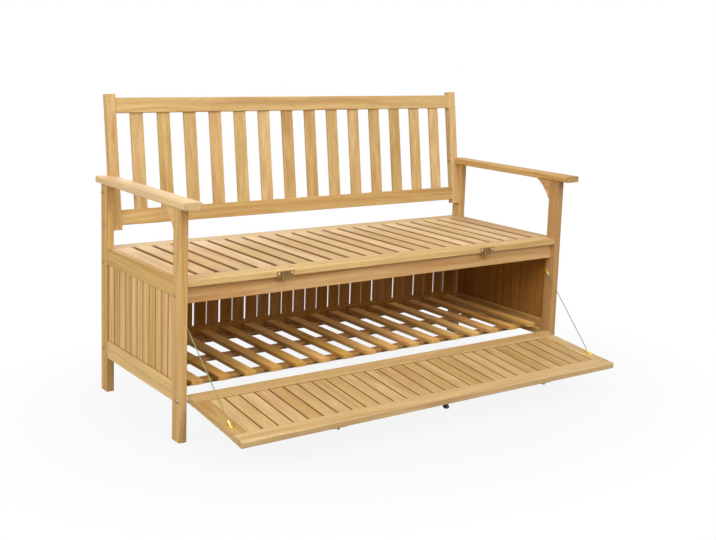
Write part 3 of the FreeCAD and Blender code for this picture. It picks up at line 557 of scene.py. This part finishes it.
def wire(settings):
    """Stranded wire in a clear sleeve."""
    material, tree, shader, at = surface("Stay wire")
    look = place(tree, shared("Wire lay", wire_lay), {
        "Place": at.outputs["Object"], "Sleeve": settings.sleeve, "Core": settings.core})
    dress(tree, shader, look, STRAND_DEPTH, STRAND_BUMP)
    shader.inputs["Coat Weight"].default_value = SLEEVE_COAT
    return material


def finish_with(material, slot, *nodes):
    """Puts one material on whole CAD nodes."""
    for node in nodes:
        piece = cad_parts[node]
        piece.data.materials.clear()
        piece.data.materials.append(material)


def board(settings, node, grain, seed):
    """A single board, whose seed picks its own place in the grain."""
    finish_with(wood(settings, node, grain, seed), "oiled_wood", node)


def board_with_painted_shadow(settings, node, grain, axis, shadow_band, seed):
    """A board with a painted shadow along its upper edge, where a piece above overhangs it."""
    low, high = (corner["xyz".index(axis)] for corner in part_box(node))
    row = (axis, 2 * low - high, 2 * (high - low), 2, shadow_band, settings.groove_shade, ())
    finish_with(wood(settings, node, grain, seed, row), "oiled_wood", node)


def board_row(settings, node, grain, axis, count, gap, seed, shade=0.0):
    """An even row of boards in one node, each with its own tone."""
    low, high = (corner["xyz".index(axis)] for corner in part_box(node))
    # The dark oil and painted shade beside each gap reach one gap edge into the slats.
    row = (axis, low - gap / 2, (high - low + gap) / count, count, gap + 2 * settings.gap_edge, shade, ())
    finish_with(wood(settings, node, grain, seed, row), "oiled_wood", node)


def board_panel(settings, node, grain, axis, count, gap, hidden, seed, shade):
    """Tongue-and-groove boards in one node, whose ends are hidden in the grooves of a frame."""
    spans = {way: [corner["xyz".index(way)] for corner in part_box(node)] for way in (grain, axis)}
    rim = [(way, (low + high) / 2, (high - low) / 2 - inset)
           for (way, (low, high)), inset in zip(spans.items(), (hidden, 0.0))]
    low, high = spans[axis]
    row = (axis, low, (high - low) / count, count, gap, shade, rim)
    finish_with(wood(settings, node, grain, seed, row), "oiled_wood", node)


# Pieces

class BENCH_OT_side_frames(bpy.types.Operator):
    """Finish the posts, side panels, armrests and their brackets"""
    bl_idname = "bench.side_frames"
    bl_label = "Side Frames"

    def execute(self, context):
        look = context.scene.bench_wood
        for number, side in enumerate(SIDES):
            first = 20 * number
            board(look, f"front_post_{side}", "z", seed=first + 1)
            board(look, f"rear_post_{side}", "z", seed=first + 2)
            board(look, f"armrest_{side}", "y", seed=first + 3)
            board(look, f"arm_bracket_{side}", "y", seed=first + 4)
            board(look, f"side_top_rail_{side}", "y", seed=first + 5)
            board(look, f"side_bottom_rail_{side}", "y", seed=first + 6)
            board(look, f"seat_cleat_{side}", "y", seed=first + 7)
            board(look, f"floor_cleat_{side}", "y", seed=first + 8)
            # Painted shade with dark oil in the grooves of the side panel and along its frame.
            board_panel(look, f"side_boards_{side}", "z", "y", count=11, gap=0.0044, hidden=0.0077,
                        seed=first + 9, shade=look.panel_shade)
        board(look, "arm_dowels", "z", seed=11)
        return {"FINISHED"}


class BENCH_OT_backrest(bpy.types.Operator):
    """Finish the leaning back with its slats"""
    bl_idname = "bench.backrest"
    bl_label = "Backrest"

    def execute(self, context):
        look = context.scene.bench_wood
        for number, side in enumerate(SIDES):
            board(look, f"back_stile_{side}", "z", seed=41 + number)
        board(look, "back_top_rail", "x", seed=43)
        board(look, "back_bottom_rail", "x", seed=44)
        board_row(look, "back_slats", "z", "x", count=14, gap=0.0502, seed=45)
        return {"FINISHED"}


class BENCH_OT_seat(bpy.types.Operator):
    """Finish the slatted seat and the apron below it"""
    bl_idname = "bench.seat"
    bl_label = "Seat"

    def execute(self, context):
        look = context.scene.bench_wood
        board(look, "seat_front_rail", "x", seed=51)
        board(look, "seat_rear_rail", "x", seed=52)
        board(look, "seat_batten", "x", seed=53)
        # Painted shadow under the seat's front rail, along the top of the apron.
        board_with_painted_shadow(look, "apron", "x", "z", shadow_band=0.005, seed=54)
        # Painted shade with dark oil on the slat edges beside the seat's gaps.
        board_row(look, "seat_slats", "y", "x", count=22, gap=0.012, seed=58, shade=look.gap_shade)
        return {"FINISHED"}


class BENCH_OT_storage_box(bpy.types.Operator):
    """Finish the rear wall and the slatted floor of the box"""
    bl_idname = "bench.storage_box"
    bl_label = "Storage Box"

    def execute(self, context):
        look = context.scene.bench_wood
        board(look, "rear_top_rail", "x", seed=61)
        board(look, "rear_bottom_rail", "x", seed=62)
        board_row(look, "rear_slats", "z", "x", count=29, gap=0.007, seed=63)
        board_row(look, "floor_battens", "x", "y", count=3, gap=0.15, seed=64)
        # Painted shade with dark oil on the edges of the floor slats.
        board_row(look, "floor_slats", "y", "x", count=16, gap=0.0483, seed=65, shade=look.floor_shade)
        return {"FINISHED"}


class BENCH_OT_flap(bpy.types.Operator):
    """Finish the drop front with its boards and knob"""
    bl_idname = "bench.flap"
    bl_label = "Drop Front"

    def execute(self, context):
        look = context.scene.bench_wood
        parts = context.scene.bench_hardware
        board(look, "flap_top_rail", "x", seed=71)
        board(look, "flap_bottom_rail", "x", seed=72)
        for number, side in enumerate(SIDES):
            board(look, f"flap_stile_{side}", "y", seed=73 + number)
        # Painted shade with dark oil in the grooves of the flap and along its frame.
        board_panel(look, "flap_boards", "y", "x", count=27, gap=0.0046, hidden=0.0080, seed=75,
                    shade=look.groove_shade)
        knob = film("Knob", parts.knob, parts.knob_dull, amount=0.5, metallic=0.0)
        finish_with(knob, "black_knob", "flap_knob")
        return {"FINISHED"}


class BENCH_OT_latches(bpy.types.Operator):
    """Finish the swing hasps, their keepers, the stay ends and their screws"""
    bl_idname = "bench.latches"
    bl_label = "Latches"

    def execute(self, context):
        parts = context.scene.bench_hardware
        bright = film("Bright brass", parts.brass, parts.tarnish, amount=0.2, metallic=0.9)
        aged = film("Aged brass", parts.aged, parts.tarnish, amount=0.6, metallic=0.3)
        heads = film("Screw heads", parts.screws, parts.aged, amount=0.3, metallic=0.9)
        finish_with(bright, "brass", "stay_upper_ends", "stay_lower_ends", "stay_upper_screws",
                    "stay_lower_screws")
        finish_with(aged, "brass", "latch_plates", "latch_pins", "hasp_left", "hasp_right", "flap_keepers")
        finish_with(heads, "brass", "latch_screws", "keeper_screws")
        return {"FINISHED"}


class BENCH_OT_fasteners(bpy.types.Operator):
    """Finish the bolts, nuts, knob stud and pivot spacers"""
    bl_idname = "bench.fasteners"
    bl_label = "Fasteners"

    def execute(self, context):
        parts = context.scene.bench_hardware
        steel = film("Steel", parts.steel, parts.steel_dull, amount=0.7, metallic=0.7)
        finish_with(steel, "steel", "frame_bolts", "barrel_nuts", "pivot_bolts", "knob_screw")
        spacer = film("Spacer", parts.spacer, parts.spacer_dull, amount=0.4, metallic=0.0)
        finish_with(spacer, "pale_spacer", "pivot_spacers")
        return {"FINISHED"}


def stay_line(name, points):
    """Points along the smooth line that a stay's route gives."""
    curve = bpy.data.curves.new(name, "CURVE")
    curve.dimensions = "3D"
    spline = curve.splines.new("NURBS")
    spline.points.add(len(points) - 1)
    for control, point in zip(spline.points, points):
        control.co = (*point, 1.0)
    spline.order_u = 3
    spline.use_endpoint_u = True
    line = bpy.data.objects.new(name, curve)
    mesh = bpy.data.meshes.new_from_object(line)
    found = [vertex.co.copy() for vertex in mesh.vertices]
    bpy.data.objects.remove(line)
    bpy.data.meshes.remove(mesh)
    return found


def stay_tube(name, line, diameter, sides):
    """A capped tube round a nearly straight line."""
    way = (line[-1] - line[0]).normalized()
    across = way.orthogonal().normalized()
    up = way.cross(across)
    turns = [math.tau * side / sides for side in range(sides)]
    ring = [(across * math.cos(turn) + up * math.sin(turn)) * diameter / 2 for turn in turns]
    points = [point + spoke for point in line for spoke in ring]
    faces = [(step * sides + side, step * sides + (side + 1) % sides,
              (step + 1) * sides + (side + 1) % sides, (step + 1) * sides + side)
             for step in range(len(line) - 1) for side in range(sides)]
    last = (len(line) - 1) * sides
    faces += [tuple(reversed(range(sides))), tuple(range(last, last + sides))]
    mesh = bpy.data.meshes.new(name)
    mesh.from_pydata(points, [], faces)
    mesh.update()
    for face in mesh.polygons:
        face.use_smooth = len(face.vertices) == 4
    tube = bpy.data.objects.new(name, mesh)
    bpy.context.scene.collection.objects.link(tube)
    return tube


class BENCH_OT_stays(bpy.types.Operator):
    """String the two stay wires from the posts to the flap"""
    bl_idname = "bench.stays"
    bl_label = "Stays"

    def execute(self, context):
        look = context.scene.bench_stays
        material = wire(look)
        for side, mirror in zip(SIDES, (-1, 1)):
            route = [Vector((mirror * x, y, z)) for x, y, z in STAY_ROUTE]
            line = stay_line(f"stay_route_{side}", route)
            tube = stay_tube(f"stay_wire_{side}", line, look.diameter, look.sides)
            tube.data.materials.append(material)
            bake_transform(tube)
            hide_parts(f"stay_{side}")
        return {"FINISHED"}


# Stage

def seen_directly(tree):
    """1 where the camera sees the stage, also in a reflection or through glass."""
    path = tree.nodes.new("ShaderNodeLightPath").outputs
    mirrored = maths(tree, "MAXIMUM", path["Is Glossy Ray"], path["Is Transmission Ray"])
    return maths(tree, "MAXIMUM", path["Is Camera Ray"], mirrored)


def studio_floor(settings):
    """A wide pale floor that keeps the bench's shadow and fades to white."""
    mesh = bpy.data.meshes.new("studio_floor")
    half = FLOOR_WIDTH / 2
    corners = [(-half, -half, 0), (half, -half, 0), (half, half, 0), (-half, half, 0)]
    mesh.from_pydata(corners, [], [(0, 1, 2, 3)])
    floor = bpy.data.objects.new("studio_floor", mesh)
    bpy.context.scene.collection.objects.link(floor)
    material = bpy.data.materials.new("Studio floor")
    material.use_nodes = True
    tree = material.node_tree
    tree.nodes.clear()
    matt = add(tree, "BsdfDiffuse", {"Color": settings.floor})
    white = add(tree, "Emission", {"Color": (1.0, 1.0, 1.0), "Strength": 1.0})
    at = tree.nodes.new("ShaderNodeTexCoord").outputs["Object"]
    away = add(tree, "VectorMath", {0: scaled(tree, at, FLOOR_SQUEEZE)}, operation="LENGTH").outputs["Value"]
    white_amount = ramp(tree, away, FADE_START, FADE_END, settings.white_share, 1.0)
    amount = maths(tree, "MULTIPLY", seen_directly(tree), white_amount)
    both = add(tree, "MixShader", {0: amount, 1: matt.outputs[0], 2: white.outputs[0]})
    output = tree.nodes.new("ShaderNodeOutputMaterial")
    tree.links.new(both.outputs[0], output.inputs[0])
    mesh.materials.append(material)


def studio_world(settings):
    """Even light all round, which the camera sees as plain white."""
    world = bpy.data.worlds.new("Studio")
    world.use_nodes = True
    tree = world.node_tree
    tree.nodes.clear()
    strength = ramp(tree, seen_directly(tree), 0.0, 1.0, settings.room_light, 1.0)
    light = add(tree, "Background", {"Color": (1.0, 1.0, 1.0), "Strength": strength})
    output = tree.nodes.new("ShaderNodeOutputWorld")
    tree.links.new(light.outputs[0], output.inputs[0])
    bpy.context.scene.world = world


def lamp(name, spot, target, size, power):
    """A round soft lamp that looks at its target."""
    light = bpy.data.lights.new(name, "AREA")
    light.shape = "DISK"
    light.size = size
    light.energy = power
    made = bpy.data.objects.new(name, light)
    made.location = spot
    made.rotation_euler = (Vector(target) - Vector(spot)).to_track_quat("-Z", "Y").to_euler()
    bpy.context.scene.collection.objects.link(made)


def camera(settings):
    """The camera, turned by its yaw, pitch and roll."""
    lens = bpy.data.cameras.new("Camera")
    lens.sensor_fit = "HORIZONTAL"
    lens.lens = settings.lens
    lens.shift_x, lens.shift_y = settings.shift
    lens.clip_end = 100.0
    made = bpy.data.objects.new("Camera", lens)
    ahead = Vector((math.sin(settings.yaw) * math.cos(settings.pitch),
                    math.cos(settings.yaw) * math.cos(settings.pitch), -math.sin(settings.pitch)))
    right = Vector((math.cos(settings.yaw), -math.sin(settings.yaw), 0.0))
    up = right.cross(ahead)
    rolled_right = right * math.cos(settings.roll) + up * math.sin(settings.roll)
    rolled_up = up * math.cos(settings.roll) - right * math.sin(settings.roll)
    turned = Matrix((rolled_right, rolled_up, -ahead)).transposed().to_4x4()
    made.matrix_world = Matrix.Translation(settings.eye) @ turned
    bpy.context.scene.collection.objects.link(made)
    bpy.context.scene.camera = made


class BENCH_OT_stage(bpy.types.Operator):
    """Lay the pale floor and set the soft lamps and the camera"""
    bl_idname = "bench.stage"
    bl_label = "Stage"

    def execute(self, context):
        settings = context.scene.bench_stage
        studio_floor(settings)
        studio_world(settings)
        for name, (spot, target, size) in LAMPS.items():
            lamp(f"{name} lamp", spot, target, size, getattr(settings, f"{name}_power"))
        camera(settings)
        context.scene.view_settings.view_transform = "Standard"
        return {"FINISHED"}


# Panel

OPERATORS = (
    BENCH_OT_side_frames, BENCH_OT_backrest, BENCH_OT_seat, BENCH_OT_storage_box, BENCH_OT_flap,
    BENCH_OT_latches, BENCH_OT_fasteners, BENCH_OT_stays, BENCH_OT_stage,
)
SETTINGS = {"bench_wood": BenchWood, "bench_hardware": BenchHardware, "bench_stays": BenchStays,
            "bench_stage": BenchStage}


class BENCH_PT_panel(bpy.types.Panel):
    """Settings and steps of the bench"""
    bl_idname = "BENCH_PT_panel"
    bl_label = "Garden Storage Bench"
    bl_space_type = "VIEW_3D"
    bl_region_type = "UI"
    bl_category = "Bench"

    def draw(self, context):
        for name, kind in SETTINGS.items():
            box = self.layout.box()
            box.label(text=kind.__doc__)
            for key in kind.__annotations__:
                box.prop(getattr(context.scene, name), key)
        for kind in OPERATORS:
            self.layout.operator(kind.bl_idname)


def register():
    for kind in (*SETTINGS.values(), *OPERATORS, BENCH_PT_panel):
        bpy.utils.register_class(kind)
    for name, kind in SETTINGS.items():
        setattr(bpy.types.Scene, name, bpy.props.PointerProperty(type=kind))


def unregister():
    for name in SETTINGS:
        delattr(bpy.types.Scene, name)
    for kind in (BENCH_PT_panel, *reversed(OPERATORS), *reversed(SETTINGS.values())):
        bpy.utils.unregister_class(kind)


def main():
    register()
    bpy.ops.bench.side_frames()
    bpy.ops.bench.backrest()
    bpy.ops.bench.seat()
    bpy.ops.bench.storage_box()
    bpy.ops.bench.flap()
    bpy.ops.bench.latches()
    bpy.ops.bench.fasteners()
    bpy.ops.bench.stays()
    bpy.ops.bench.stage()


if __name__ == "__main__":
    main()
